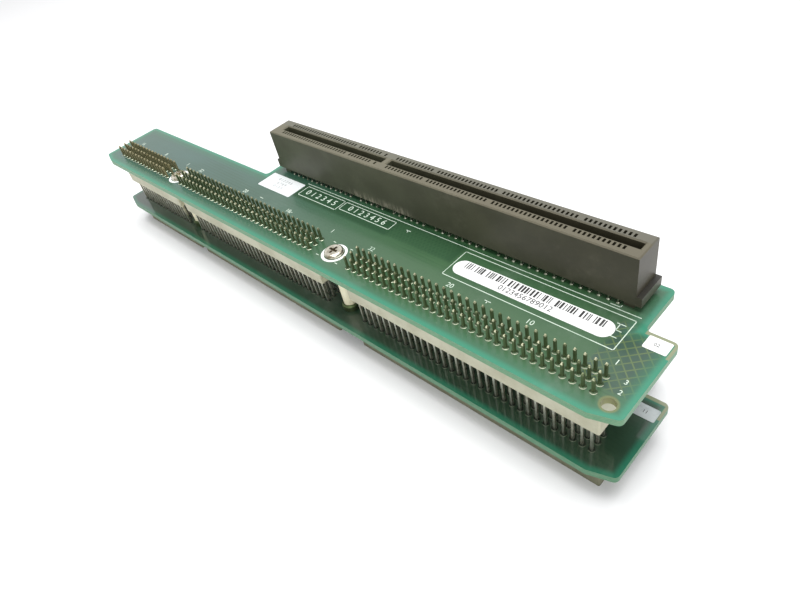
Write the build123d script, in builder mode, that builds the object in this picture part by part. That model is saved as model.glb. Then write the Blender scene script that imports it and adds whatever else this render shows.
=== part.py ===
from build123d import *
import os

os.makedirs("parts", exist_ok=True)

# Server backplane: two stacked boards, joined by pin fields and two posts, with one long card slot on top.
# X runs along the boards, Y from the pin edge to the slot edge, Z up from the face that plugs in.

# Boards
board_length = 241.0
board_depth = 42.5
board_thickness = 2.0
board_gap = 20.0
tab_width = 8.3
tab_depth = 27.1
narrow_depth = 26.5
wide_length = 146.7
corner_run = 7.0
corner_rise = 2.1
outline_radius = 1.5
fixing_hole_radius = 1.7
fixing_hole_end_inset = 4.3
fixing_hole_front_inset = 4.4

# Pin fields: rows A, B and C of square pins, in three connectors counted in columns from the tab end
pitch = 2.54
pin_size = 0.64
pin_rows = 3
first_column_inset = 8.5
last_column_inset = 8.9
row_a_inset = 5.5
full_columns = 32
second_first_column = 38
third_first_column = 73
upper_end_margin = 2.6
lower_end_margin = 3.2
body_depth = 8.1
body_corner_radius = 0.5
lower_body_height = 9.5
upper_body_height = 10.5
short_pin_stand = 4.4
pin_tip_height = 0.45
pin_tip_taper = 20

# Posts and screws between the connectors, counted in pitches from the first column
post_columns = [34.5, 71]
post_radius = 2.1
post_bore_radius = 1.3
post_bore_depth = 7.0
post_stub_radius = 1.5
collar_radius = 2.9
collar_height = 2.2
collar_clearance = 0.05
collar_chamfer = 0.5
screw_radius = 1.25
screw_clearance = 0.05
screw_length = 6.0
screw_head_radius = 3.05
screw_head_height = 1.3
screw_head_fillet = 0.7
recess_width = 0.8
recess_length = 3.2
recess_depth = 0.9

# Card slot
slot_back_inset = 6.75
housing_end_inset = 12.9
housing_length = 137.7
housing_depth = 9.05
housing_top_height = 16.1
housing_raise = 1.75
housing_chamfer = 0.3
end_step_stand_out = 1.4
end_step_length = 5.0
end_step_top = 4.6
end_step_back = 0.4
pad_length = 2.6
pad_inset = 0.8
slot_near_wall = 1.6
slot_far_wall = 3.9
slot_width = 2.4
slot_card_depth = 8.5
slot_lead_in = 0.35
contact_pitch = 1.27
contact_row_offset = 2.46
first_contact_lead = 3.1
last_contact_lead = 2.0
blank_positions = [12, 31, 49, 62, 63, 64, 66, 75]
key_position = 63
key_width = 2.25
contact_cavity_width = 0.65
contact_cavity_depth = 1.3
contact_cavity_drop = 4.0
tail_width = 0.45
tail_thickness = 0.35
tail_clearance = 0.02
outer_tail_offset = 3.81
inner_tail_offset = 1.27

# Labels, as distance of the centre from the tab end and from the front edge, length and depth
label_thickness = 0.12
label_corner_radius = 0.4
stadium_flat = 0.05
stadium_label = (37.25, 22.6, 47.5, 5.8)
square_label = (143.6, 24.6, 18.2, 8.2)
upper_tab_label = (3.8, 24.2, 5.6, 4.0)
lower_tab_label = (3.6, 22.1, 5.6, 4.0)

# Levels, from the plug-in face up
lower_board_z = lower_body_height
lower_top_z = lower_board_z + board_thickness
upper_board_z = lower_top_z + board_gap
upper_top_z = upper_board_z + board_thickness
upper_body_z = upper_board_z - upper_body_height
slot_top_z = upper_top_z + housing_top_height
housing_z = upper_top_z + housing_raise

# Places worked out from the sizes above
half_length = board_length / 2
half_depth = board_depth / 2
tab_back_y = tab_depth - half_depth
narrow_back_y = narrow_depth - half_depth
wide_left_x = half_length - tab_width - wide_length
fixing_hole = (half_length - fixing_hole_end_inset, fixing_hole_front_inset - half_depth)
first_pin_x = half_length - first_column_inset
row_b_y = row_a_inset - half_depth + pitch
# The last connector takes the columns that are left before the far end
column_count = int((board_length - first_column_inset - last_column_inset) / pitch) + 1
third_columns = column_count - third_first_column
connectors = [(0, full_columns), (second_first_column, full_columns), (third_first_column, third_columns)]
slot_y = half_depth - slot_back_inset
housing_right_x = half_length - housing_end_inset
housing_x = housing_right_x - housing_length / 2
slot_length = housing_length - slot_near_wall - slot_far_wall
slot_right_x = housing_right_x - slot_near_wall
first_contact_x = slot_right_x - first_contact_lead
contact_count = int((slot_length - first_contact_lead - last_contact_lead) / contact_pitch) + 1
key_x = first_contact_x - (key_position - 1) * contact_pitch
post_points = [(first_pin_x - column * pitch, row_b_y) for column in post_columns]
field_points = [(first_pin_x - (first + (columns - 1) / 2) * pitch, row_b_y) for first, columns in connectors]
contact_numbers = [n for n in range(1, contact_count + 1) if n not in blank_positions]
contact_xs = [first_contact_x - (n - 1) * contact_pitch for n in contact_numbers]
# Contacts are bent inside the housing, one outward and the next inward, so their tails stand in two rows
outer_xs = [x for n, x in zip(contact_numbers, contact_xs) if n % 2 == 1]
inner_xs = [x for n, x in zip(contact_numbers, contact_xs) if n % 2 == 0]
sides = [-1, 1]


def field(columns):
    return GridLocations(pitch, pitch, columns, pin_rows)


def board_outline():
    with BuildLine() as edge:
        Polyline(
            (half_length - corner_run, -half_depth),
            (half_length, corner_rise - half_depth),
            (half_length, tab_back_y),
            (half_length - tab_width, tab_back_y),
            (half_length - tab_width, half_depth),
            (wide_left_x, half_depth),
            (wide_left_x, narrow_back_y),
            (-half_length, narrow_back_y),
            (-half_length, corner_rise - half_depth),
            (corner_run - half_length, -half_depth),
            close=True,
        )
    with BuildSketch(Plane.XY) as outline:
        add(edge.line)
        make_face()
        fillet(outline.vertices(), radius=outline_radius)
    return outline.sketch


outline = board_outline()

# Lower board: the outline with the two post holes. The pins' soldered holes are closed
with BuildPart() as lower_board:
    with BuildSketch(Plane.XY.offset(lower_board_z)):
        add(outline)
        with Locations(*post_points):
            Circle(post_stub_radius, mode=Mode.SUBTRACT)
    extrude(amount=board_thickness)
lower_board.part.label = "lower_board"
export_step(lower_board.part, "parts/lower_board.step")

# Upper board: the same outline, drilled for the two screws and with a fixing hole in its right front corner
with BuildPart() as upper_board:
    with BuildSketch(Plane.XY.offset(upper_board_z)):
        add(outline)
        with Locations(*post_points):
            Circle(screw_radius + screw_clearance, mode=Mode.SUBTRACT)
        with Locations(fixing_hole):
            Circle(fixing_hole_radius, mode=Mode.SUBTRACT)
    extrude(amount=board_thickness)
upper_board.part.label = "upper_board"
export_step(upper_board.part, "parts/upper_board.step")

# Connector bodies: moulded blocks under each board
for number, (point, (first, columns)) in enumerate(zip(field_points, connectors), start=1):
    levels = [
        ("lower", 0, lower_body_height, lower_end_margin),
        ("upper", upper_body_z, upper_body_height, upper_end_margin),
    ]
    for level, base_z, height, end_margin in levels:
        body_length = (columns - 1) * pitch + 2 * end_margin
        with BuildPart() as body:
            with BuildSketch(Plane.XY.offset(base_z)):
                with Locations(point):
                    RectangleRounded(body_length, body_depth, body_corner_radius)
            extrude(amount=height)
        body.part.label = f"{level}_connector_{number}"
        export_step(body.part, f"parts/{level}_connector_{number}.step")

# Pins: short ones stand on the upper board, long ones cross the gap from the lower board to the upper bodies
for number, (point, (first, columns)) in enumerate(zip(field_points, connectors), start=1):
    with BuildPart() as short_pins:
        with BuildSketch(Plane.XY.offset(upper_top_z)):
            with Locations(point):
                with field(columns):
                    Rectangle(pin_size, pin_size)
        extrude(amount=short_pin_stand - pin_tip_height)
        with BuildSketch(Plane.XY.offset(upper_top_z + short_pin_stand - pin_tip_height)):
            with Locations(point):
                with field(columns):
                    Rectangle(pin_size, pin_size)
        extrude(amount=pin_tip_height, taper=pin_tip_taper)
    short_pins.part.label = f"short_pins_{number}"
    export_step(short_pins.part, f"parts/short_pins_{number}.step")
    with BuildPart() as long_pins:
        with BuildSketch(Plane.XY.offset(lower_top_z)):
            with Locations(point):
                with field(columns):
                    Rectangle(pin_size, pin_size)
        extrude(amount=upper_body_z - lower_top_z)
    long_pins.part.label = f"long_pins_{number}"
    export_step(long_pins.part, f"parts/long_pins_{number}.step")

# Posts: round spacers, tapped from above, each with a stub pressed through the lower board
with BuildPart() as posts:
    with BuildSketch(Plane.XY.offset(lower_board_z)):
        with Locations(*post_points):
            Circle(post_stub_radius)
    extrude(amount=board_thickness)
    with BuildSketch(Plane.XY.offset(lower_top_z)):
        with Locations(*post_points):
            Circle(post_radius)
    extrude(amount=board_gap)
    with BuildSketch(Plane.XY.offset(upper_board_z)):
        with Locations(*post_points):
            Circle(post_bore_radius)
    extrude(amount=-post_bore_depth, mode=Mode.SUBTRACT)
posts.part.label = "posts"
export_step(posts.part, "parts/posts.step")

# Collars: round nuts that hold the posts' feet on the lower board
with BuildPart() as collars:
    with BuildSketch(Plane.XY.offset(lower_top_z)):
        with Locations(*post_points):
            Circle(collar_radius)
            Circle(post_radius + collar_clearance, mode=Mode.SUBTRACT)
    extrude(amount=collar_height)
    upper_rims = collars.edges().filter_by(GeomType.CIRCLE).group_by(Axis.Z)[-1].sort_by(SortBy.RADIUS)
    chamfer(upper_rims[-len(post_points):], length=collar_chamfer)
collars.part.label = "collars"
export_step(collars.part, "parts/collars.step")

# Screws: pan heads with a cross recess, through the upper board into the posts
with BuildPart() as screws:
    with BuildSketch(Plane.XY.offset(upper_top_z)):
        with Locations(*post_points):
            Circle(screw_radius)
    extrude(amount=-screw_length)
    with BuildSketch(Plane.XY.offset(upper_top_z)):
        with Locations(*post_points):
            Circle(screw_head_radius)
    extrude(amount=screw_head_height)
    head_rims = screws.edges().filter_by(GeomType.CIRCLE).group_by(Axis.Z)[-1]
    fillet(head_rims, radius=screw_head_fillet)
    with BuildSketch(Plane.XY.offset(upper_top_z + screw_head_height)):
        with Locations(*post_points):
            Rectangle(recess_length, recess_width)
            Rectangle(recess_width, recess_length)
    extrude(amount=-recess_depth, mode=Mode.SUBTRACT)
screws.part.label = "screws"
export_step(screws.part, "parts/screws.step")

# Slot housing: one moulding on two hidden pads, stepped at each end, with a keyed slot between cavities
cavity_points = [(x, slot_y + side * contact_row_offset) for side in sides for x in contact_xs]
slot_end_x = slot_right_x - slot_length
key_right_x = key_x + key_width / 2
key_left_x = key_x - key_width / 2
slot_spans = [(key_right_x, slot_right_x), (slot_end_x, key_left_x)]
housing_left_x = housing_right_x - housing_length
step_right_x = housing_right_x + end_step_stand_out - end_step_length / 2
step_left_x = housing_left_x - end_step_stand_out + end_step_length / 2
step_y = slot_y + end_step_back / 2
pad_right_x = housing_right_x - pad_inset - pad_length / 2
pad_left_x = housing_left_x + pad_inset + pad_length / 2


def slot_mouths(widening):
    for low_x, high_x in slot_spans:
        with Locations(((low_x + high_x) / 2, slot_y)):
            Rectangle(high_x - low_x + widening, slot_width + widening)


with BuildPart() as slot_housing:
    with BuildSketch(Plane.XY.offset(housing_z)):
        with Locations((housing_x, slot_y)):
            Rectangle(housing_length, housing_depth)
    extrude(amount=slot_top_z - housing_z)
    with BuildSketch(Plane.XY.offset(housing_z)):
        with Locations((step_right_x, step_y), (step_left_x, step_y)):
            Rectangle(end_step_length, housing_depth + end_step_back)
    extrude(amount=end_step_top - housing_raise)
    with BuildSketch(Plane.XY.offset(upper_top_z)):
        with Locations((pad_right_x, slot_y), (pad_left_x, slot_y)):
            Rectangle(pad_length, housing_depth - 2 * pad_inset)
    extrude(amount=housing_raise)
    top_face = slot_housing.faces().sort_by(Axis.Z)[-1]
    chamfer(top_face.outer_wire().edges(), length=housing_chamfer)
    with BuildSketch(Plane.XY.offset(slot_top_z)):
        slot_mouths(0)
    extrude(amount=-slot_card_depth, mode=Mode.SUBTRACT)
    with BuildSketch(Plane.XY.offset(slot_top_z)):
        with Locations(*cavity_points):
            Rectangle(contact_cavity_width, contact_cavity_depth)
    extrude(amount=-contact_cavity_drop, mode=Mode.SUBTRACT)
    with BuildSketch(Plane.XY.offset(slot_top_z)):
        slot_mouths(2 * slot_lead_in)
    extrude(amount=-slot_lead_in, taper=45, mode=Mode.SUBTRACT)
slot_housing.part.label = "slot_housing"
export_step(slot_housing.part, "parts/slot_housing.step")

# Slot contact tails: flat strips that stand on the board under the raised housing, in two rows on each side
for side, row in zip(sides, ["front", "back"]):
    outer_points = [(x, slot_y + side * outer_tail_offset) for x in outer_xs]
    inner_points = [(x, slot_y + side * inner_tail_offset) for x in inner_xs]
    with BuildPart() as tails:
        with BuildSketch(Plane.XY.offset(upper_top_z)):
            with Locations(*outer_points, *inner_points):
                Rectangle(tail_width, tail_thickness)
        extrude(amount=housing_raise - tail_clearance)
    tails.part.label = f"slot_tails_{row}"
    export_step(tails.part, f"parts/slot_tails_{row}.step")

# Labels: thin stickers on the boards
labels = [
    ("stadium_label", stadium_label, upper_top_z, stadium_label[3] / 2 - stadium_flat),
    ("square_label", square_label, upper_top_z, label_corner_radius),
    ("upper_tab_label", upper_tab_label, upper_top_z, label_corner_radius),
    ("lower_tab_label", lower_tab_label, lower_top_z, label_corner_radius),
]
for name, (from_end, from_front, length, depth), base_z, radius in labels:
    with BuildPart() as label:
        with BuildSketch(Plane.XY.offset(base_z)):
            with Locations((half_length - from_end, from_front - half_depth)):
                RectangleRounded(length, depth, radius)
        extrude(amount=label_thickness)
    label.part.label = name
    export_step(label.part, f"parts/{name}.step")
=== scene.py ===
import math
import bpy
import numpy as np
from mathutils import Matrix, Vector


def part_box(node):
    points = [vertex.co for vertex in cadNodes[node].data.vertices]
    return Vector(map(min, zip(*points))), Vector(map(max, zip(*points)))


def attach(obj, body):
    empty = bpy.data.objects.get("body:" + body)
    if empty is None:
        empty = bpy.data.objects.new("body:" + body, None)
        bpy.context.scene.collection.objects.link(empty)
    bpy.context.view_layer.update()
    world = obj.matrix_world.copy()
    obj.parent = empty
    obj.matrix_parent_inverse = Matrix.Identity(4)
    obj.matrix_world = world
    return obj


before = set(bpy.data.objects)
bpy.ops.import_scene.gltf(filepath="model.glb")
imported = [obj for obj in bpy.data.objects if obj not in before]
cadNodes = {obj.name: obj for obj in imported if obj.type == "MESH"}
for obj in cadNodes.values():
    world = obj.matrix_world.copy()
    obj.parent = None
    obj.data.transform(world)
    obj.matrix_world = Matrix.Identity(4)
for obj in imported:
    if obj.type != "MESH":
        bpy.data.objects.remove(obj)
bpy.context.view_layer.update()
mm = 0.001


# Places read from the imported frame
pinPitch = 2.54 * mm
pinHalf = 0.32 * mm      # half a pin's width
screwHalf = 3.05 * mm    # half a screw head's width
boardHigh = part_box("upper_board")[1]
upperTop = boardHigh.z
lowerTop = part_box("lower_board")[1].z
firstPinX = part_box("short_pins_1")[1].x - pinHalf
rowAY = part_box("short_pins_1")[0].y + pinHalf
rowBY = rowAY + pinPitch
screwLow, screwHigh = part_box("screws")
screwXs = [screwHigh.x - screwHalf, screwLow.x + screwHalf]
fields = [(0, 32), (38, 32), (73, 16)]   # first column and column count of each connector
tailLow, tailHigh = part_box("slot_tails_front")
slotLow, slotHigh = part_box("slot_housing")
print("frame read")


def linear(red, green, blue):
    # display colour 0-255 to linear light: ((c / 255 + 0.055) / 1.055) ^ 2.4, or c / 12.92 near black
    channel = np.array([red, green, blue]) / 255
    light = np.where(channel > 0.04045, ((channel + 0.055) / 1.055) ** 2.4, channel / 12.92)
    return (*light.tolist(), 1.0)


# Small node helpers: each takes sockets or plain numbers
def plug(tree, socket, value):
    if isinstance(value, bpy.types.NodeSocket):
        tree.links.new(value, socket)
    else:
        socket.default_value = value


def calc(tree, operation, first, second=0.0, third=0.0):
    node = tree.nodes.new("ShaderNodeMath")
    node.operation = operation
    for socket, value in zip(node.inputs, (first, second, third)):
        plug(tree, socket, value)
    return node.outputs[0]


def times(tree, *factors):
    # the product of all the factors
    product = factors[0]
    for factor in factors[1:]:
        product = calc(tree, "MULTIPLY", product, factor)
    return product


def least(tree, *values):
    # the smallest of the values
    smallest = values[0]
    for value in values[1:]:
        smallest = calc(tree, "MINIMUM", smallest, value)
    return smallest


def flatLength(tree, first, second):
    # the square root of the sum of the two squares
    squares = [calc(tree, "POWER", side, 2.0) for side in (first, second)]
    return calc(tree, "SQRT", calc(tree, "ADD", *squares))


def blendColor(tree, factor, first, second):
    node = tree.nodes.new("ShaderNodeMix")
    node.data_type = "RGBA"
    plug(tree, node.inputs[0], factor)
    plug(tree, node.inputs[6], first)
    plug(tree, node.inputs[7], second)
    return node.outputs[2]


def span(tree, value, low, high, outLow=0.0, outHigh=1.0):
    node = tree.nodes.new("ShaderNodeMapRange")
    node.interpolation_type = "SMOOTHSTEP"
    for socket, number in zip(node.inputs, (value, low, high, outLow, outHigh)):
        plug(tree, socket, number)
    return node.outputs[0]


def noise(tree, vector, scale, detail=3.0, rough=0.55):
    node = tree.nodes.new("ShaderNodeTexNoise")
    plug(tree, node.inputs["Vector"], vector)
    node.inputs["Scale"].default_value = scale
    node.inputs["Detail"].default_value = detail
    node.inputs["Roughness"].default_value = rough
    return node.outputs["Fac"]


def objectPoint(tree):
    return tree.nodes.new("ShaderNodeTexCoord").outputs["Object"]


def parts(tree, vector):
    node = tree.nodes.new("ShaderNodeSeparateXYZ")
    plug(tree, node.inputs[0], vector)
    return node.outputs


def stretched(tree, vector, scale):
    node = tree.nodes.new("ShaderNodeMapping")
    plug(tree, node.inputs["Vector"], vector)
    node.inputs["Scale"].default_value = scale
    return node.outputs[0]


def scaledPoint(tree, vector, factor):
    node = tree.nodes.new("ShaderNodeVectorMath")
    node.operation = "SCALE"
    plug(tree, node.inputs[0], vector)
    plug(tree, node.inputs["Scale"], factor)
    return node.outputs[0]


def upwardFacing(tree):
    # the upward part of the surface's normal: 1 on a top, 0 on a side, -1 underneath
    return parts(tree, tree.nodes.new("ShaderNodeNewGeometry").outputs["Normal"])[2]


def seenDirectly(tree):
    # 1 for a ray from the camera, off a mirror or through glass, 0 for diffuse light
    path = tree.nodes.new("ShaderNodeLightPath").outputs
    mirrored = calc(tree, "MAXIMUM", path["Is Glossy Ray"], path["Is Transmission Ray"])
    return calc(tree, "MAXIMUM", path["Is Camera Ray"], mirrored)


def bump(tree, height, strength, distance):
    node = tree.nodes.new("ShaderNodeBump")
    plug(tree, node.inputs["Height"], height)
    node.inputs["Strength"].default_value = strength
    node.inputs["Distance"].default_value = distance
    return node.outputs[0]


def startGroup(name, inputs, outputs):
    tree = bpy.data.node_groups.new(name, "ShaderNodeTree")
    for label, kind, value in inputs:
        socket = tree.interface.new_socket(label, in_out="INPUT", socket_type=kind)
        if value is not None:
            socket.default_value = value
    for label, kind in outputs:
        tree.interface.new_socket(label, in_out="OUTPUT", socket_type=kind)
    return tree, tree.nodes.new("NodeGroupInput").outputs, tree.nodes.new("NodeGroupOutput").inputs


def useGroup(tree, group, **values):
    node = tree.nodes.new("ShaderNodeGroup")
    node.node_tree = group
    for label, value in values.items():
        plug(tree, node.inputs[label], value)
    return node.outputs


def startMaterial(name, roughness, metallic=0.0, specular=0.5):
    material = bpy.data.materials.new(name)
    material.use_nodes = True
    tree = material.node_tree
    shader = tree.nodes["Principled BSDF"]
    shader.inputs["Roughness"].default_value = roughness
    shader.inputs["Metallic"].default_value = metallic
    shader.inputs["Specular IOR Level"].default_value = specular
    return material, tree, shader.inputs


# Grime: a cloudy mask from two sizes of noise, 0 clean to 1 dusty
def grimeGroup():
    inputs = [
        ("Point", "NodeSocketVector", None),
        ("Size", "NodeSocketFloat", 60.0),
        ("Start", "NodeSocketFloat", 0.5),
    ]
    tree, given, out = startGroup("grime", inputs, [("Mask", "NodeSocketFloat")])
    scaled = scaledPoint(tree, given["Point"], given["Size"])
    broad = noise(tree, scaled, 1.0, 4.0, 0.6)
    fine = noise(tree, scaled, 9.0, 5.0, 0.7)
    mixed = calc(tree, "ADD", times(tree, broad, 0.72), times(tree, fine, 0.28))
    tree.links.new(span(tree, mixed, given["Start"], calc(tree, "ADD", given["Start"], 0.22)), out["Mask"])
    return tree


# Moulded grain: a fine bump height and a slight shade change, for every plastic piece
def mouldGroup():
    inputs = [("Point", "NodeSocketVector", None), ("Size", "NodeSocketFloat", 2400.0)]
    outputs = [("Height", "NodeSocketFloat"), ("Shade", "NodeSocketFloat")]
    tree, given, out = startGroup("mouldedGrain", inputs, outputs)
    scaled = scaledPoint(tree, given["Point"], given["Size"])
    tree.links.new(noise(tree, scaled, 1.0, 3.0, 0.6), out["Height"])
    tree.links.new(span(tree, noise(tree, scaled, 0.045, 4.0, 0.6), 0.3, 0.7), out["Shade"])
    return tree


boardShape = {
    "narrowBack": 5.55 * mm,      # back edge of the strip that runs the whole length
    "wideLeft": -34.5 * mm,       # left end of the wide stretch
    "wideRight": 112.2 * mm,      # right end of the wide stretch
    "cornerSlope": 2.1 / 7.0,     # front corners rise this much over their run
    "cornerRun": 7.0 * mm,
    "tabLow": (112.9 * mm, 0.4 * mm),
    "tabHigh": (125.0 * mm, 10.0 * mm),
    "tabSoft": 0.3 * mm,
    "layer": 0.5 * mm,            # one layer of laminate
    "fixingHole": (116.2 * mm, -16.85 * mm),
}


# Depth from the board's edge: the least distance to each of two blocks' sides, then the greater
def edgeGroup():
    inputs = [("Point", "NodeSocketVector", None)]
    tree, given, out = startGroup("boardEdge", inputs, [("Depth", "NodeSocketFloat")])
    x, y = parts(tree, given["Point"])[:2]
    halfLength, halfDepth = boardHigh.x, boardHigh.y
    toEnd = least(tree, calc(tree, "SUBTRACT", halfLength, x), calc(tree, "ADD", halfLength, x))
    toFront = calc(tree, "ADD", y, halfDepth)
    pastRun = calc(tree, "SUBTRACT", toEnd, boardShape["cornerRun"])
    toCorner = calc(tree, "ADD", toFront, times(tree, pastRun, boardShape["cornerSlope"]))
    toNarrowBack = calc(tree, "SUBTRACT", boardShape["narrowBack"], y)
    strip = least(tree, toEnd, toCorner, toFront, toNarrowBack)
    toWideBack = calc(tree, "SUBTRACT", halfDepth, y)
    toWideLeft = calc(tree, "SUBTRACT", x, boardShape["wideLeft"])
    toWideRight = calc(tree, "SUBTRACT", boardShape["wideRight"], x)
    wide = least(tree, toFront, toWideBack, toWideLeft, toWideRight)
    tree.links.new(calc(tree, "MAXIMUM", strip, wide), out["Depth"])
    return tree


grime = grimeGroup()
mould = mouldGroup()
boardEdge = edgeGroup()


def boxMask(tree, x, y, low, high, soft):
    # 1 inside a rectangle, falling to 0 over soft at each side: the product of four ramps
    left = span(tree, x, low[0] - soft, low[0])
    right = span(tree, x, high[0], high[0] + soft, 1.0, 0.0)
    front = span(tree, y, low[1] - soft, low[1])
    back = span(tree, y, high[1], high[1] + soft, 1.0, 0.0)
    return times(tree, left, right, front, back)


def netMasks(tree, x, y, net):
    # diamond net: two families of slanted lines, each 1 where its folded distance is under the thickness,
    # and the rectangle that holds them
    along = calc(tree, "DIVIDE", x, net["along"])
    across = calc(tree, "DIVIDE", y, net["across"])
    folded = [calc(tree, "PINGPONG", calc(tree, way, along, across), 0.5) for way in ("ADD", "SUBTRACT")]
    lines = span(tree, least(tree, *folded), net["thickness"], net["thickness"] * 1.8, 1.0, 0.0)
    return lines, boxMask(tree, x, y, net["low"], net["high"], net["soft"])


# far is the far end's colour with a painted reflection, bluer and greyer than near
boardLooks = {
    "upper": dict(
        far=linear(48, 84, 75), near=linear(54, 90, 56), bare=linear(26, 64, 37), strip=linear(30, 97, 68),
        edgeBand=linear(34, 124, 96), side=linear(132, 158, 126), sideDark=linear(94, 146, 114),
        coat=0.5, coatRough=0.14,
    ),
    # painted shade: the lower board's colours are darker copies of the upper board's, for the shade under the
    # upper board
    "lower": dict(
        far=linear(40, 68, 52), near=linear(34, 62, 42), bare=linear(22, 46, 30), strip=linear(25, 56, 39),
        edgeBand=linear(22, 106, 80), side=linear(112, 141, 114), sideDark=linear(78, 126, 95),
        coat=1.0, coatRough=0.05,
    ),
}

boardColors = {
    "rimFibre": linear(128, 134, 104),
    "holeRim": linear(104, 108, 62),
    "holeWall": linear(150, 146, 104),
    "hatchLine": linear(84, 104, 58),
    "hatchField": linear(34, 62, 54),
    "film": linear(140, 148, 142),
}

# Depths from the board's edge and distances from the fixing hole's axis over which a colour fades
boardFades = {
    "strip": (1.5 * mm, 5.0 * mm),
    "edgeBand": (0.5 * mm, 2.2 * mm),
    "tabRim": (0.6 * mm, 0.9 * mm),
    "holeRim": (1.9 * mm, 2.5 * mm),
    "holeWall": (1.75 * mm, 1.9 * mm),
}

# Faint tracks: pitch across, turns for each metre along, and where the painted reflection fades along the
# board
boardTracks = {"pitch": 1.27 * mm, "slant": 14.0, "fadeLeft": -70.0 * mm, "fadeRight": 60.0 * mm}

# Patches of the upper board without copper: low corner, high corner, strength
barePatches = [
    ((-14.0 * mm, 1.6 * mm), (31.5 * mm, 7.4 * mm), 0.92),    # behind the two framed fields
    ((58.0 * mm, -3.6 * mm), (109.7 * mm, 7.4 * mm), 0.1),    # round the long label
    ((32.0 * mm, 2.0 * mm), (57.0 * mm, 9.0 * mm), 0.75),     # between the right field and the long label
]
patchSoft = 1.6 * mm

# A fine weave of tracks between the right field and the long label
weaveNet = {
    "low": (33.0 * mm, -1.0 * mm),
    "high": (54.0 * mm, 7.0 * mm),
    "soft": 3.0 * mm,
    "along": 1.3 * mm,
    "across": 2.6 * mm,
    "thickness": 0.14,      # half a line's share of the pitch
    "strength": 0.3,
}

# The hatched field at the tab end
hatchNet = {
    "low": (107.5 * mm, -13.0 * mm),
    "high": (119.6 * mm, 5.0 * mm),
    "soft": 1.5 * mm,
    "along": 2.9 * mm,
    "across": 2.9 * mm,
    "thickness": 0.06,
    "strength": 0.8,
    "ground": 0.75,         # strength of the darker ground between the lines
}


def upperPattern(tree, point, color, look):
    # what only the upper board shows under its mask: bare patches, the weave and the hatched field
    x, y = parts(tree, point)[:2]
    for low, high, strength in barePatches:
        patch = boxMask(tree, x, y, low, high, patchSoft)
        color = blendColor(tree, times(tree, patch, strength), color, look["bare"])
    lines, place = netMasks(tree, x, y, weaveNet)
    color = blendColor(tree, times(tree, lines, place, weaveNet["strength"]), color, look["near"])
    lines, place = netMasks(tree, x, y, hatchNet)
    wander = span(tree, noise(tree, point, 120.0, 3.0), 0.3, 0.55, 0.45, 1.0)
    field = times(tree, place, wander)
    color = blendColor(tree, times(tree, field, hatchNet["ground"]), color, boardColors["hatchField"])
    drawn = times(tree, lines, field, hatchNet["strength"])
    return blendColor(tree, drawn, color, boardColors["hatchLine"])


def rimPattern(tree, point, color, look):
    # bluish green toward the edges, first softly and then in a clear band, and raw laminate on the tab's rim
    x, y = parts(tree, point)[:2]
    depth = useGroup(tree, boardEdge, Point=point)["Depth"]
    color = blendColor(tree, span(tree, depth, *boardFades["strip"], 0.65, 0.0), color, look["strip"])
    color = blendColor(tree, span(tree, depth, *boardFades["edgeBand"], 0.95, 0.0), color, look["edgeBand"])
    tab = boxMask(tree, x, y, boardShape["tabLow"], boardShape["tabHigh"], boardShape["tabSoft"])
    tabRim = times(tree, tab, span(tree, depth, *boardFades["tabRim"], 1.0, 0.0))
    return blendColor(tree, tabRim, color, boardColors["rimFibre"])


def sidePattern(tree, point, fromHole, look):
    # the cut sides: pale laminate in thin layers, with a fibre grain, and a browner wall in the fixing hole
    z = parts(tree, point)[2]
    folded = calc(tree, "PINGPONG", calc(tree, "DIVIDE", z, boardShape["layer"]), 0.5)
    layers = span(tree, folded, 0.1, 0.4)
    color = blendColor(tree, layers, look["sideDark"], look["side"])
    fibre = noise(tree, stretched(tree, point, (1.0, 1.0, 6.0)), 700.0, 3.0)
    color = blendColor(tree, span(tree, fibre, 0.35, 0.7, 0.0, 0.35), color, look["edgeBand"])
    inHole = span(tree, fromHole, *boardFades["holeWall"], 0.85, 0.0)
    return blendColor(tree, inHole, color, boardColors["holeWall"])


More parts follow.
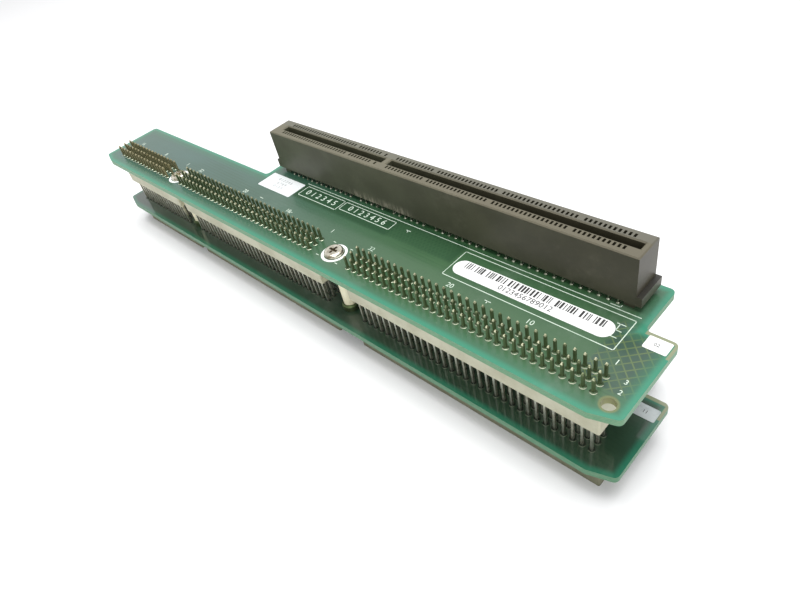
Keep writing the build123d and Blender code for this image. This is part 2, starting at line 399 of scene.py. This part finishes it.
def boardMaterial(name, board):
    look = boardLooks[board]
    material, tree, shader = startMaterial(name, 0.4)
    shader["Coat Roughness"].default_value = look["coatRough"]
    point = objectPoint(tree)
    x, y = parts(tree, point)[:2]
    # painted reflection: the board is bluer and greyer toward the far end, for the surroundings its mask
    # reflects there
    nearness = span(tree, x, boardTracks["fadeLeft"], boardTracks["fadeRight"])
    copperAndReflection = blendColor(tree, nearness, look["far"], look["near"])
    cloud = noise(tree, stretched(tree, point, (0.35, 1.0, 1.0)), 90.0, 4.0)
    color = blendColor(tree, span(tree, cloud, 0.35, 0.7, 0.0, 0.3), copperAndReflection, look["bare"])
    # faint copper tracks that run along the board under the mask
    steps = calc(tree, "DIVIDE", y, boardTracks["pitch"])
    slanted = calc(tree, "ADD", steps, times(tree, x, boardTracks["slant"]))
    patches = span(tree, noise(tree, stretched(tree, point, (0.25, 1.0, 1.0)), 55.0, 2.0), 0.48, 0.6)
    tracks = times(tree, span(tree, calc(tree, "PINGPONG", slanted, 0.5), 0.1, 0.2, 0.4, 0.0), patches)
    color = blendColor(tree, tracks, color, look["bare"])
    holeX, holeY = boardShape["fixingHole"]
    fromHole = flatLength(tree, calc(tree, "SUBTRACT", x, holeX), calc(tree, "SUBTRACT", y, holeY))
    if board == "upper":
        color = upperPattern(tree, point, color, look)
    color = rimPattern(tree, point, color, look)
    if board == "upper":
        holeRim = span(tree, fromHole, *boardFades["holeRim"], 0.8, 0.0)
        color = blendColor(tree, holeRim, color, boardColors["holeRim"])
    side = span(tree, calc(tree, "ABSOLUTE", upwardFacing(tree)), 0.3, 0.6, 1.0, 0.0)
    color = blendColor(tree, side, color, sidePattern(tree, point, fromHole, look))
    # the cut sides are matt: neither coat nor much reflection
    tree.links.new(times(tree, calc(tree, "SUBTRACT", 1.0, side), look["coat"]), shader["Coat Weight"])
    tree.links.new(span(tree, side, 0.0, 1.0, 0.5, 0.1), shader["Specular IOR Level"])
    dust = useGroup(tree, grime, Point=point, Size=45.0, Start=0.5)["Mask"]
    color = blendColor(tree, times(tree, dust, 0.12), color, boardColors["film"])
    tree.links.new(color, shader["Base Color"])
    tree.links.new(span(tree, dust, 0.0, 1.0, 0.36, 0.5), shader["Roughness"])
    relief = calc(tree, "ADD", times(tree, tracks, 0.6), noise(tree, point, 900.0, 2.0))
    tree.links.new(bump(tree, relief, 0.12, 0.05 * mm), shader["Normal"])
    return material


plasticLooks = {
    "beigePlastic": dict(
        base=linear(196, 195, 172), shade=linear(176, 174, 148), dust=linear(206, 204, 190),
        rough=0.55, amount=0.3,
    ),
    # painted shade: a darker copy of the beige plastic, for the lower connectors in the shade under the
    # boards
    "shadedBeigePlastic": dict(
        base=linear(122, 122, 98), shade=linear(104, 104, 80), dust=linear(142, 140, 118),
        rough=0.55, amount=0.25,
    ),
    "creamPlastic": dict(
        base=linear(242, 238, 210), shade=linear(230, 224, 190), dust=linear(236, 234, 216),
        rough=0.45, amount=0.2,
    ),
}


def plasticMaterial(name):
    look = plasticLooks[name]
    material, tree, shader = startMaterial(name, look["rough"])
    point = objectPoint(tree)
    grain = useGroup(tree, mould, Point=point)
    dust = useGroup(tree, grime, Point=point, Size=110.0, Start=0.52)["Mask"]
    color = blendColor(tree, grain["Shade"], look["base"], look["shade"])
    color = blendColor(tree, times(tree, dust, look["amount"]), color, look["dust"])
    tree.links.new(color, shader["Base Color"])
    tree.links.new(span(tree, dust, 0.0, 1.0, look["rough"], look["rough"] + 0.2), shader["Roughness"])
    tree.links.new(bump(tree, grain["Height"], 0.15, 0.03 * mm), shader["Normal"])
    return material


slotLook = {
    "far": linear(84, 86, 68),
    "near": linear(66, 63, 48),
    "farShade": linear(72, 73, 56),
    "nearShade": linear(56, 53, 40),
    "topLight": linear(108, 102, 84),
    "backRailLight": linear(108, 106, 95),
    "dust": linear(150, 145, 128),
    "recessShade": linear(22, 21, 17),
}

slotFades = {
    "recessShade": (slotHigh.z - 4.5 * mm, slotHigh.z - 2.0 * mm),        # height, painted shade below
    "backRail": (15.7 * mm, 16.2 * mm),                            # y, painted light: greyer behind, on the back rail
    "smearHeight": (upperTop + 2.0 * mm, upperTop + 5.2 * mm),     # height, no smear above
}

smearPlace = {"low": (12.0 * mm, upperTop), "high": (31.0 * mm, upperTop + 6.0 * mm), "soft": 7.0 * mm}


def slotMaterial():
    material, tree, shader = startMaterial("brownMoulding", 0.48)
    point = objectPoint(tree)
    x, y, z = parts(tree, point)
    grain = useGroup(tree, mould, Point=point, Size=2000.0)
    along = span(tree, x, slotLow.x, slotHigh.x)
    lit = blendColor(tree, along, slotLook["far"], slotLook["near"])
    shaded = blendColor(tree, along, slotLook["farShade"], slotLook["nearShade"])
    color = blendColor(tree, grain["Shade"], lit, shaded)
    # painted light: the top faces are paler than the sides, the back rail's greyer, for the light from above
    topFace = span(tree, upwardFacing(tree), 0.4, 0.8)
    topLitColor = blendColor(tree, span(tree, y, *slotFades["backRail"]), slotLook["topLight"], slotLook["backRailLight"])
    color = blendColor(tree, times(tree, topFace, 0.6), color, topLitColor)
    # painted shade: the floors deep in the slot are dark
    recessShade = span(tree, z, *slotFades["recessShade"], 1.0, 0.0)
    color = blendColor(tree, times(tree, topFace, recessShade, 0.9), color, slotLook["recessShade"])
    # a smear of pale dust low on the front face, in upright streaks
    streaks = span(tree, noise(tree, stretched(tree, point, (11.0, 1.0, 1.5)), 160.0, 5.0, 0.75), 0.42, 0.6)
    low = span(tree, z, *slotFades["smearHeight"], 1.0, 0.0)
    place = boxMask(tree, x, z, smearPlace["low"], smearPlace["high"], smearPlace["soft"])
    dust = useGroup(tree, grime, Point=point, Size=70.0, Start=0.55)["Mask"]
    dusty = calc(tree, "MAXIMUM", times(tree, dust, 0.16), times(tree, streaks, low, place, 0.95))
    color = blendColor(tree, dusty, color, slotLook["dust"])
    tree.links.new(color, shader["Base Color"])
    tree.links.new(span(tree, dusty, 0.0, 0.6, 0.45, 0.75), shader["Roughness"])
    tree.links.new(bump(tree, grain["Height"], 0.18, 0.04 * mm), shader["Normal"])
    return material


metalLooks = {
    # the pins' darker tones serve for random tarnish and, greenish, for a painted reflection of the green
    # board
    "pinTin": dict(base=linear(214, 212, 180), dullAndShaded=linear(106, 118, 84), rough=0.26, scale=500.0),
    "brownPinTin": dict(base=linear(190, 182, 148), dullAndShaded=linear(134, 128, 96), rough=0.34, scale=500.0),
    # painted shade: the tails are darker, in the shade under the slot housing
    "tailTin": dict(base=linear(150, 154, 138), dullAndShaded=linear(90, 98, 80), rough=0.28, scale=700.0),
    "longPinTin": dict(base=linear(222, 220, 206), dullAndShaded=linear(144, 144, 126), rough=0.3, scale=420.0),
    # painted shade and reflection: the collars are dark green, in the shade near the lower board, which they
    # reflect
    "shadedCollarZinc": dict(base=linear(84, 98, 66), dullAndShaded=linear(46, 60, 38), rough=0.45, scale=300.0),
    "screwZinc": dict(base=linear(224, 220, 206), dullAndShaded=linear(118, 108, 86), rough=0.22, scale=300.0),
}

pinShadeHeight = (upperTop + 3.6 * mm, upperTop + 4.2 * mm)    # painted shade: a short pin is darker below, near the board, and bright above


def metalMaterial(name):
    look = metalLooks[name]
    material, tree, shader = startMaterial(name, look["rough"], metallic=1.0)
    point = objectPoint(tree)
    tarnishAndShade = span(tree, noise(tree, point, look["scale"], 4.0, 0.6), 0.4, 0.68)
    if name in ("pinTin", "brownPinTin"):
        # painted shade and reflection: the shafts, near the green board, are darker and greener than the tips
        shaftShade = span(tree, parts(tree, point)[2], *pinShadeHeight, 0.9, 0.0)
        tarnishAndShade = calc(tree, "MAXIMUM", tarnishAndShade, shaftShade)
    tree.links.new(blendColor(tree, tarnishAndShade, look["base"], look["dullAndShaded"]), shader["Base Color"])
    tree.links.new(span(tree, tarnishAndShade, 0.0, 1.0, look["rough"], look["rough"] + 0.22), shader["Roughness"])
    tree.links.new(bump(tree, noise(tree, point, look["scale"] * 3, 2.0), 0.1, 0.02 * mm), shader["Normal"])
    return material


solderLooks = {
    "upperSolder": dict(bright=linear(196, 200, 178), dark=linear(58, 76, 50), rough=0.32),
    # painted shade: the lower rings are darker copies of the upper ones, under the upper board
    "lowerSolder": dict(bright=linear(92, 102, 84), dark=linear(34, 44, 32), rough=0.34),
}

# The painted highlight, a bright crescent on a ring: the way it faces, where it starts on that side, and its
# inner edge
highlightShape = {"right": 0.45, "front": 0.9, "start": (0.16 * mm, 0.55 * mm), "inner": (0.7 * mm, 0.78 * mm)}


def solderMaterial(name):
    # painted highlight: each ring is bright toward the front edge, and dark greenish elsewhere for painted
    # shade and a painted reflection of the green board; its place is counted from its own pin, folded at the
    # pitch
    look = solderLooks[name]
    material, tree, shader = startMaterial(name, look["rough"], metallic=0.6)
    point = objectPoint(tree)
    x, y = parts(tree, point)[:2]
    localX = calc(tree, "WRAP", calc(tree, "SUBTRACT", x, firstPinX), pinPitch / 2, -pinPitch / 2)
    localY = calc(tree, "WRAP", calc(tree, "SUBTRACT", y, rowAY), pinPitch / 2, -pinPitch / 2)
    rightPart = times(tree, localX, highlightShape["right"])
    toward = calc(tree, "SUBTRACT", rightPart, times(tree, localY, highlightShape["front"]))
    outside = span(tree, flatLength(tree, localX, localY), *highlightShape["inner"])
    paintedHighlight = times(tree, span(tree, toward, *highlightShape["start"]), outside)
    grain = span(tree, noise(tree, point, 900.0, 4.0, 0.6), 0.35, 0.7, 0.75, 1.0)
    color = blendColor(tree, times(tree, paintedHighlight, grain), look["dark"], look["bright"])
    tree.links.new(color, shader["Base Color"])
    tree.links.new(bump(tree, noise(tree, point, 2400.0, 2.0), 0.1, 0.02 * mm), shader["Normal"])
    return material


printLooks = {
    "labelPaper": dict(base=linear(235, 236, 235), shade=linear(222, 224, 222), rough=0.5),
    "squarePaper": dict(base=linear(218, 222, 223), shade=linear(202, 208, 210), rough=0.5),
    "silverPaper": dict(base=linear(196, 202, 204), shade=linear(168, 176, 178), rough=0.35),
    "boardInk": dict(base=linear(206, 220, 206), shade=linear(160, 184, 164), rough=0.55),
    "blackInk": dict(base=linear(38, 38, 38), shade=linear(70, 70, 70), rough=0.6),
    "greyInk": dict(base=linear(150, 152, 152), shade=linear(190, 192, 192), rough=0.6),
}


def printMaterial(name):
    look = printLooks[name]
    material, tree, shader = startMaterial(name, look["rough"])
    point = objectPoint(tree)
    dust = useGroup(tree, grime, Point=point, Size=160.0, Start=0.5)["Mask"]
    tree.links.new(blendColor(tree, dust, look["base"], look["shade"]), shader["Base Color"])
    tree.links.new(bump(tree, noise(tree, point, 1500.0, 2.0), 0.08, 0.02 * mm), shader["Normal"])
    return material


materials = {name: plasticMaterial(name) for name in plasticLooks}
materials.update({name: metalMaterial(name) for name in metalLooks})
materials.update({name: solderMaterial(name) for name in solderLooks})
materials.update({name: printMaterial(name) for name in printLooks})
materials["brownMoulding"] = slotMaterial()
materials["upperBoardGreen"] = boardMaterial("upperBoardGreen", "upper")
materials["lowerBoardShadedGreen"] = boardMaterial("lowerBoardShadedGreen", "lower")

nodeFinish = {
    "upper_board": "upperBoardGreen",
    "lower_board": "lowerBoardShadedGreen",
    "slot_housing": "brownMoulding",
    "slot_tails_front": "tailTin",
    "slot_tails_back": "tailTin",
    "posts": "creamPlastic",
    "collars": "shadedCollarZinc",
    "screws": "screwZinc",
    "stadium_label": "labelPaper",
    "square_label": "squarePaper",
    "upper_tab_label": "labelPaper",
    "lower_tab_label": "silverPaper",
}
for number in (1, 2, 3):
    nodeFinish[f"upper_connector_{number}"] = "beigePlastic"
    nodeFinish[f"lower_connector_{number}"] = "shadedBeigePlastic"
    nodeFinish[f"short_pins_{number}"] = "brownPinTin" if number == 3 else "pinTin"
    nodeFinish[f"long_pins_{number}"] = "longPinTin"
for name, node in cadNodes.items():
    node.data.materials.clear()
    node.data.materials.append(materials[nodeFinish[name]])
print("materials placed on", len(nodeFinish), "nodes")


def addPiece(name, points, faces, finish, slotName):
    mesh = bpy.data.meshes.new(name)
    mesh.from_pydata(points.tolist(), [], faces.tolist())
    mesh.materials.append(materials[finish])
    mesh.update()
    piece = bpy.data.objects.new(name, mesh)
    bpy.context.scene.collection.objects.link(piece)
    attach(piece, "root")


def repeated(points, faces, centers):
    # the same small mesh at every centre: each copy's points are shifted and its faces renumbered
    count = len(centers)
    allPoints = (points[None] + centers[:, None]).reshape(-1, 3)
    allFaces = (faces[None] + len(points) * np.arange(count)[:, None, None]).reshape(-1, faces.shape[1])
    return allPoints, allFaces


def spunRing(radii, heights, segments):
    # closed band: a closed profile of (radius, height) turned about Z, angle = 2 pi i / segments
    angle = 2 * math.pi * np.arange(segments) / segments
    radius, height = np.array(radii), np.array(heights)
    x, y = np.outer(np.cos(angle), radius), np.outer(np.sin(angle), radius)
    points = np.stack([x, y, np.tile(height, (segments, 1))], axis=-1).reshape(-1, 3)
    count = len(radii)
    i, j = np.meshgrid(np.arange(segments), np.arange(count), indexing="ij")
    nextI, nextJ = (i + 1) % segments, (j + 1) % count
    faces = np.stack([i * count + j, nextI * count + j, nextI * count + nextJ, i * count + nextJ], axis=-1)
    return points, faces.reshape(-1, 4)


def boxes(lows, highs):
    # one closed box per row: its eight corners pick low or high by the bits of the corner's number
    bits = np.array([[n & 1, n >> 1 & 1, n >> 2 & 1] for n in range(8)])
    points = np.where(bits[None] == 1, highs[:, None], lows[:, None]).reshape(-1, 3)
    faces = np.array([[0, 2, 3, 1], [4, 5, 7, 6], [0, 1, 5, 4], [2, 6, 7, 3], [0, 4, 6, 2], [1, 3, 7, 5]])
    return points, (faces[None] + 8 * np.arange(len(lows))[:, None, None]).reshape(-1, 4)


def fieldCenters(height):
    # pin places: column x = first - pitch * column, row y = first row + pitch * row
    columns = np.concatenate([np.arange(first, first + count) for first, count in fields])
    x = firstPinX - columns * pinPitch
    y = rowAY + np.arange(3) * pinPitch
    gridX, gridY = np.meshgrid(x, y, indexing="ij")
    return np.stack([gridX.ravel(), gridY.ravel(), np.full(gridX.size, height)], axis=-1)


solderRing = {
    "segments": 14,
    "radii": [0.36, 0.5, 0.68, 0.8, 0.92, 0.92, 0.36],        # mm from the pin's axis
    "heights": [0.22, 0.12, 0.07, 0.11, 0.03, -0.02, -0.02],  # mm above the board
}

tailRing = {
    "segments": 10,
    "radii": [0.12, 0.3, 0.45, 0.58, 0.58, 0.12],
    "heights": [0.36, 0.28, 0.13, 0.03, -0.02, -0.02],
    "pitch": 2.54 * mm,
    "missing": [15, 24, 31, 37],   # outer tails that the row leaves out, counted from the tab end
    "rowOffset": 3.81 * mm,        # from the slot's middle
    "halfWidth": 0.225 * mm,       # of a tail, along X
    "halfDepth": 0.175 * mm,       # of a tail, along Y
}


def ringProfile(look):
    # the profile runs from the ground up, so that the turned band faces outward
    return [r * mm for r in look["radii"]][::-1], [h * mm for h in look["heights"]][::-1]


def addSolder():
    # one ring round every pin, on the top of each board
    points, faces = spunRing(*ringProfile(solderRing), solderRing["segments"])
    for board, height in (("upper", upperTop), ("lower", lowerTop)):
        rings = repeated(points, faces, fieldCenters(height))
        addPiece(f"{board}_solder", *rings, f"{board}Solder", "pin_metal")


def addTailSolder():
    # tail places: x = first - pitch * n, in a row before and a row behind the slot's middle
    lastTail = int((tailHigh.x - tailLow.x) / tailRing["pitch"])
    kept = np.array([n for n in range(lastTail + 1) if n not in tailRing["missing"]])
    x = tailHigh.x - tailRing["halfWidth"] - kept * tailRing["pitch"]
    middleY = tailLow.y + tailRing["halfDepth"] + tailRing["rowOffset"]
    height = np.full(len(x), upperTop)
    rows = [
        np.column_stack([x, np.full(len(x), middleY + side * tailRing["rowOffset"]), height])
        for side in (-1, 1)
    ]
    points, faces = spunRing(*ringProfile(tailRing), tailRing["segments"])
    addPiece("tail_solder", *repeated(points, faces, np.concatenate(rows)), "tailTin", "pin_metal")


addTailSolder()
addSolder()
print("solder rings done")


ink = {"thickness": 0.03 * mm, "line": 0.22 * mm}


def inkLines(strokes, height):
    # each stroke (x0, y0, x1, y1) in mm is a flat box along X or Y, half a line wide to each side
    ends = np.array(strokes) * mm
    lows = np.minimum(ends[:, :2], ends[:, 2:]) - ink["line"] / 2
    highs = np.maximum(ends[:, :2], ends[:, 2:]) + ink["line"] / 2
    lows = np.column_stack([lows, np.full(len(lows), height)])
    highs = np.column_stack([highs, np.full(len(highs), height + ink["thickness"])])
    return boxes(lows, highs)


def frameStrokes(left, front, right, back):
    # the four sides of a rectangle
    alongX = [(left, front, right, front), (left, back, right, back)]
    return alongX + [(left, front, left, back), (right, front, right, back)]


printing = {
    "longLine": [(-14.0, 8.65, 109.8, 8.65)],
    "labelFrame": frameStrokes(58.7, -3.35, 109.5, 7.2),
    "leftField": frameStrokes(-12.3, 2.4, 7.1, 7.5),
    "rightField": frameStrokes(8.0, 3.5, 31.0, 7.4),
    "comb": [
        (106.2, 4.6, 108.2, 4.6), (106.9, 2.4, 108.2, 2.4),
        (106.9, 2.4, 106.9, 4.6), (106.7, 0.2, 108.2, 0.2),
    ],
    "bracket": [(101.6, 9.5, 104.2, 9.5), (104.2, 9.5, 104.2, 10.2)],
    "screwTicks": [
        (20.0, -9.4, 20.9, -9.4), (27.6, -9.3, 28.5, -9.3),
        (19.6, -16.4, 20.5, -16.4), (28.0, -16.3, 28.9, -16.3),
    ],
    "smallMarks": [
        (36.4, 6.2, 38.0, 6.2), (37.2, 5.5, 37.2, 6.2), (75.2, -5.6, 76.9, -5.6),
        (76.0, -6.3, 76.0, -5.6), (-24.0, -5.7, -22.4, -5.7), (-6.9, -6.0, -5.3, -6.0),
        (-6.1, -6.7, -6.1, -6.0),
    ],
}


screwRing = {"inner": 3.3 * mm, "outer": 4.15 * mm, "segments": 48}


def addPrinting():
    # all strokes as one piece, and a flat white ring round each screw: a turned rectangle
    strokes = [stroke for group in printing.values() for stroke in group]
    addPiece("printed_lines", *inkLines(strokes, upperTop), "boardInk", "label_white")
    inner, outer, low, high = screwRing["inner"], screwRing["outer"], 0.0, ink["thickness"]
    points, faces = spunRing([inner, outer, outer, inner], [low, low, high, high], screwRing["segments"])
    centers = np.array([[x, rowBY, upperTop] for x in screwXs])
    addPiece("screw_rings", *repeated(points, faces, centers), "labelPaper", "label_white")


addPrinting()

labelThickness = 0.12 * mm
labelTop = upperTop + labelThickness
lowerLabelTop = lowerTop + labelThickness

# Column numbers of the three pin fields: the number, and the column it stands at
columnNumbers = [
    (1, 0), (10, 9), (20, 19), (32, 31),
    (1, 38), (10, 47), (20, 57), (32, 69),
    (1, 73), (8, 80), (16, 88),
]
columnPrint = {"y": -6.0 * mm, "size": 2.3 * mm}

# Other plain numbers: name, text, x and y in mm, height of the surface, size in mm, ink
plainNumbers = [
    ("row_number_3", "3", 116.3, -9.9, upperTop, 1.9, "boardInk"),
    ("row_number_2", "2", 116.6, -13.0, upperTop, 1.9, "boardInk"),
    ("left_field_numbers", "0 1 2 3 4 5", -2.6, 4.9, upperTop, 3.5, "boardInk"),
    ("right_field_numbers", "0 1 2 3 4 5 6", 19.5, 5.4, upperTop, 3.3, "boardInk"),
    ("tab_number", "02", 116.5, 2.9, labelTop, 1.4, "blackInk"),
    ("label_numbers", "0123456789012", 83.2, 0.1, labelTop, 2.5, "blackInk"),
    ("square_label_row_0", "0 1 2 3 4 5", -23.1, 5.4, labelTop, 1.7, "greyInk"),
    ("square_label_row_1", "6 7 8 9", -23.1, 3.5, labelTop, 1.7, "greyInk"),
    ("square_label_row_2", "0 1 2 3", -23.1, 1.6, labelTop, 1.7, "greyInk"),
    ("lower_tab_number", "11", 116.6, 0.8, lowerLabelTop, 1.4, "blackInk"),
]


def addNumber(name, text, x, y, height, size, finish):
    # a number from the plain built-in letter shapes, made a thin mesh and placed flat on the board
    curve = bpy.data.curves.new(name, "FONT")
    curve.body = text
    curve.size = size
    curve.align_x, curve.align_y = "CENTER", "CENTER"
    curve.extrude = ink["thickness"] / 2
    curve.resolution_u = 3
    source = bpy.data.objects.new(name + "_shape", curve)
    bpy.context.scene.collection.objects.link(source)
    bpy.context.view_layer.update()
    mesh = bpy.data.meshes.new_from_object(source)
    bpy.data.objects.remove(source)
    mesh.transform(Matrix.Translation((x, y, height + ink["thickness"] / 2)))
    mesh.materials.clear()
    mesh.materials.append(materials[finish])
    piece = bpy.data.objects.new(name, mesh)
    bpy.context.scene.collection.objects.link(piece)
    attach(piece, "root")


for number, column in columnNumbers:
    place = firstPinX - column * pinPitch, columnPrint["y"]
    addNumber(f"number_{column}", str(number), *place, upperTop, columnPrint["size"], "boardInk")
for name, text, x, y, height, size, finish in plainNumbers:
    addNumber(name, text, x * mm, y * mm, height, size * mm, finish)
print("printing done")

# The long label's bars: places and widths in mm
barStrip = {
    "left": 62.2,
    "right": 104.4,
    "front": 1.5,
    "back": 3.9,
    "thickness": 0.02,
    "groups": 12,
    "groupGap": 0.25,
    "widths": [0.26, 0.36, 0.6],
    "steps": 9,            # draws for each group: gap and bar in turn, and a last one that no bar uses
    "gapShare": 0.8,       # gaps are this much of a bar drawn alike
    "seed": 11,
}


def addBars():
    # each group has its own start, and running sums of seeded gaps and widths give each bar's two sides
    rng = np.random.default_rng(barStrip["seed"])
    step = (barStrip["right"] - barStrip["left"]) / barStrip["groups"]
    starts = barStrip["left"] + step * np.arange(barStrip["groups"])[:, None]
    widths = rng.choice(barStrip["widths"], (barStrip["groups"], barStrip["steps"]))
    widths[:, ::2] *= barStrip["gapShare"]
    sides = (starts + np.cumsum(widths, axis=1)).clip(None, starts + step - barStrip["groupGap"])
    left, right = sides[:, 0:-1:2].ravel(), sides[:, 1::2].ravel()
    keep = right > left
    left, right = left[keep] * mm, right[keep] * mm
    full = np.ones(len(left))
    barTop = labelTop + barStrip["thickness"] * mm
    lows = np.column_stack([left, full * barStrip["front"] * mm, full * labelTop])
    highs = np.column_stack([right, full * barStrip["back"] * mm, full * barTop])
    addPiece("label_bars", *boxes(lows, highs), "blackInk", "label_white")


addBars()
print("labels done")

# Stage, light and camera
stageLook = {
    "floorSize": 4.0,
    "floorColor": linear(240, 240, 241),
    "floorShade": linear(234, 235, 238),
    "lift": 0.03,                                 # glow that camera and mirror rays add to the floor
    "worldLight": (0.43, 0.43, 0.43, 1),          # what lights the part
    "worldSeen": (1, 1, 1, 1),                    # what the camera and mirrors see
}


def addStage():
    # a square floor, half its size to each side of the origin
    half = stageLook["floorSize"] / 2
    mesh = bpy.data.meshes.new("floor")
    corners = [(-half, -half, 0), (half, -half, 0), (half, half, 0), (-half, half, 0)]
    mesh.from_pydata(corners, [], [(0, 1, 2, 3)])
    material, tree, shader = startMaterial("floorPaper", 0.9, specular=0.0)
    tone = noise(tree, objectPoint(tree), 3.0)
    cloud = span(tree, tone, 0.3, 0.7, 0.0, 0.1)
    color = blendColor(tree, cloud, stageLook["floorColor"], stageLook["floorShade"])
    tree.links.new(color, shader["Base Color"])
    tree.links.new(times(tree, seenDirectly(tree), stageLook["lift"]), shader["Emission Strength"])
    shader["Emission Color"].default_value = (1, 1, 1, 1)
    mesh.materials.append(material)
    floor = bpy.data.objects.new("floor", mesh)
    bpy.context.scene.collection.objects.link(floor)


lamps = {
    "overhead": dict(place=(0.05, 0.05, 1.1), aim=(0, 0, 0.03), size=0.8, power=14.5),
    "front": dict(place=(0.9, -0.9, 0.8), aim=(0, 0, 0.03), size=0.8, power=6.0),
}


def addLamps():
    # each lamp's -Z points from its place to its aim
    for name, lamp in lamps.items():
        light = bpy.data.lights.new(name, "AREA")
        light.shape = "SQUARE"
        light.size = lamp["size"]
        light.energy = lamp["power"]
        holder = bpy.data.objects.new(name, light)
        holder.location = lamp["place"]
        toward = Vector(lamp["aim"]) - Vector(lamp["place"])
        holder.rotation_euler = toward.to_track_quat("-Z", "Y").to_euler()
        bpy.context.scene.collection.objects.link(holder)
    world = bpy.data.worlds.new("studio")
    bpy.context.scene.world = world
    world.use_nodes = True
    tree = world.node_tree
    back = tree.nodes["Background"].inputs
    color = blendColor(tree, seenDirectly(tree), stageLook["worldLight"], stageLook["worldSeen"])
    tree.links.new(color, back["Color"])
    back["Strength"].default_value = 1.0


# The camera fitted to the photo
cameraView = {
    "place": Vector((154.279, -90.506, 143.011)) * mm,
    "right": Vector((0.713039, 0.674860, -0.190104)),
    "forward": Vector((-0.598442, 0.444544, -0.666520)),
    "focalPixels": 618.7,
    "photoWidth": 800,
}


def addCamera():
    # lens = focal length in pixels / photo width * sensor width; the turn's columns are right, up and back
    data = bpy.data.cameras.new("photoCamera")
    data.sensor_width = 36.0
    data.lens = cameraView["focalPixels"] / cameraView["photoWidth"] * data.sensor_width
    data.clip_start = 0.005
    camera = bpy.data.objects.new("photoCamera", data)
    right, forward = cameraView["right"], cameraView["forward"]
    up = right.cross(forward)
    turn = Matrix((right, up, -forward)).transposed().to_4x4()
    camera.matrix_world = Matrix.Translation(cameraView["place"]) @ turn
    bpy.context.scene.collection.objects.link(camera)
    bpy.context.scene.camera = camera


addStage()
addLamps()
addCamera()
bpy.context.scene.view_settings.view_transform = "Standard"
print("stage, lamps and camera done")
